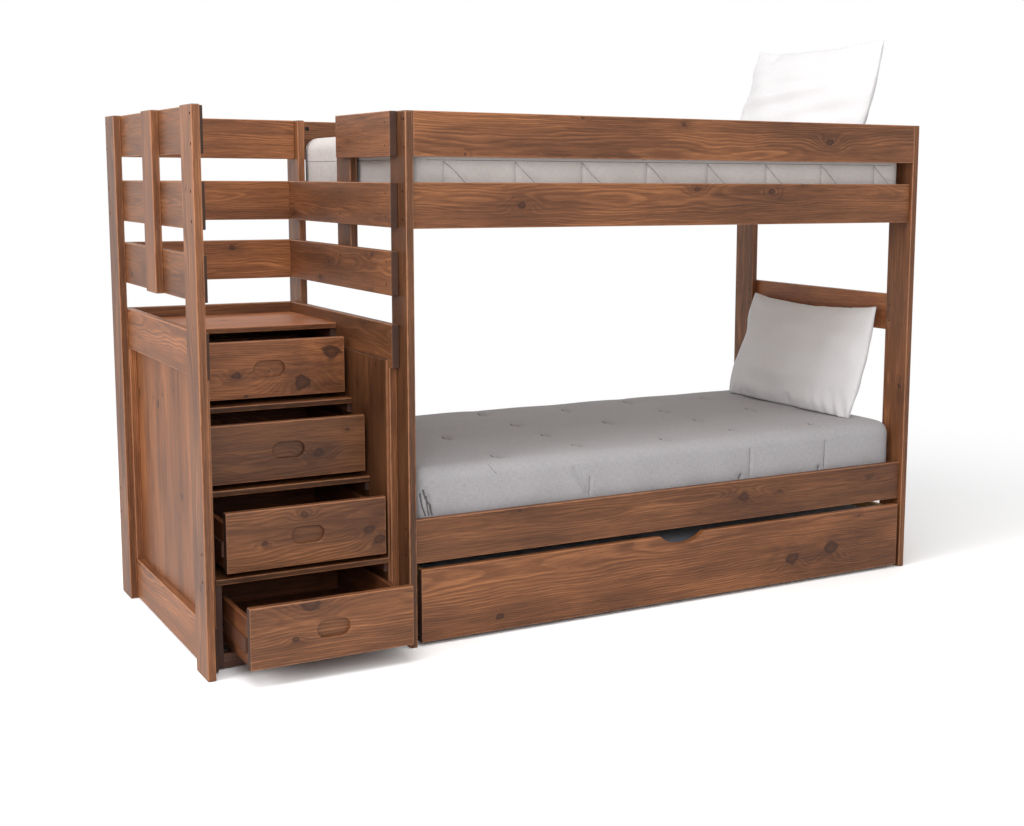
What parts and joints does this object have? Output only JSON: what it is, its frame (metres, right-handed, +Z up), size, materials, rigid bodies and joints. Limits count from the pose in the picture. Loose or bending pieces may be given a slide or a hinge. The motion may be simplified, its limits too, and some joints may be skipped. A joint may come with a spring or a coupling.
{
  "type": "bunk bed with storage stairs",
  "caption": "Twin over twin wooden bunk bed, reached by a flight of steps at one end whose risers are drawers, with a wheeled trundle drawer under the lower bunk.",
  "frame": {"origin": "middle of the footprint, on the floor, with the drawers drawn out as far as in the picture", "axes": "+Z up; -Y is the front, the way the drawers and the trundle come out; +X runs from the stairs towards the head end"},
  "size_m": [2.703, 1.221, 1.988],
  "materials": {
    "stained_pine": "walnut stain under a satin lacquer",
    "dark_pine": "walnut stain, in shadow",
    "drawer_pine": "lighter stain, satin",
    "plain_pine": "unstained, matt",
    "zinc_steel": "zinc plated",
    "dark_screw": "black oxide",
    "slide_steel": "zinc plated",
    "caster_tread": "moulded",
    "mattress_light": "pale quilted ticking",
    "mattress_grey": "mid grey woven ticking",
    "pillow_white": "white cotton"
  },
  "bodies": {
    "frame": {"bed_post_front_left": "stained_pine", "bed_post_front_right": "stained_pine", "bed_post_rear_left": "stained_pine", "bed_post_rear_right": "stained_pine", "stair_post_front": "stained_pine", "stair_post_rear": "stained_pine", "guard_rail_front": "stained_pine", "guard_rail_rear": "stained_pine", "upper_side_rail_front": "stained_pine", "upper_side_rail_rear": "stained_pine", "lower_side_rail_front": "stained_pine", "lower_side_rail_rear": "stained_pine", "entry_rails": "stained_pine", "entry_post": "stained_pine", "right_end_rails": "stained_pine", "head_rail": "stained_pine", "stair_left_rails": "stained_pine", "stair_back_rails": "stained_pine", "guard_batten": "stained_pine", "left_frame": "stained_pine", "left_panel": "stained_pine", "right_frame": "stained_pine", "right_panel": "stained_pine", "back_frame": "stained_pine", "back_panel": "stained_pine", "landing": "stained_pine", "tread_1": "stained_pine", "tread_2": "stained_pine", "tread_3": "stained_pine", "stair_runners": "dark_pine", "toe_rail": "dark_pine", "drawer_tracks": "slide_steel", "bed_ledgers": "plain_pine", "upper_slats": "plain_pine", "lower_slats": "plain_pine", "bed_bolts": "zinc_steel", "wood_screws": "dark_screw", "upper_mattress": "mattress_light", "lower_mattress": "mattress_grey", "upper_pillow": "pillow_white", "lower_pillow": "pillow_white"},
    "drawer_1": {"drawer_1_front": "stained_pine", "drawer_1_box": "drawer_pine", "drawer_1_runners": "slide_steel"},
    "drawer_2": {"drawer_2_front": "stained_pine", "drawer_2_box": "drawer_pine", "drawer_2_runners": "slide_steel"},
    "drawer_3": {"drawer_3_front": "stained_pine", "drawer_3_box": "drawer_pine", "drawer_3_runners": "slide_steel"},
    "drawer_4": {"drawer_4_front": "stained_pine", "drawer_4_box": "drawer_pine", "drawer_4_runners": "slide_steel"},
    "trundle": {"trundle_front": "stained_pine", "trundle_box": "plain_pine", "trundle_slats": "plain_pine", "trundle_mattress": "mattress_light", "caster_forks": "zinc_steel"},
    "front_wheels": {"trundle_wheels_front": "caster_tread"},
    "rear_wheels": {"trundle_wheels_rear": "caster_tread"}
  },
  "joints": [
    {"name": "drawer_1_slide", "type": "slide", "parent": "frame", "child": "drawer_1", "axis": [0, -1, 0], "range_m": [-0.236, 0.214]},
    {"name": "drawer_2_slide", "type": "slide", "parent": "frame", "child": "drawer_2", "axis": [0, -1, 0], "range_m": [-0.175, 0.275]},
    {"name": "drawer_3_slide", "type": "slide", "parent": "frame", "child": "drawer_3", "axis": [0, -1, 0], "range_m": [-0.157, 0.218]},
    {"name": "drawer_4_slide", "type": "slide", "parent": "frame", "child": "drawer_4", "axis": [0, -1, 0], "range_m": [-0.135, 0.165]},
    {"name": "trundle_roll", "type": "slide", "parent": "frame", "child": "trundle", "axis": [0, -1, 0], "range_m": [0, 0.95]},
    {"name": "front_wheels_turn", "type": "hinge", "parent": "trundle", "child": "front_wheels", "pos_m": [-0.649, -0.4075, 0.025], "axis": [1, 0, 0], "continuous": true},
    {"name": "rear_wheels_turn", "type": "hinge", "parent": "trundle", "child": "rear_wheels", "pos_m": [-0.649, 0.4925, 0.025], "axis": [1, 0, 0], "continuous": true}
  ],
  "couplings": [
    {"joint": "front_wheels_turn", "follows": "trundle_roll", "rad_per_m": 40},
    {"joint": "rear_wheels_turn", "follows": "trundle_roll", "rad_per_m": 40}
  ]
}
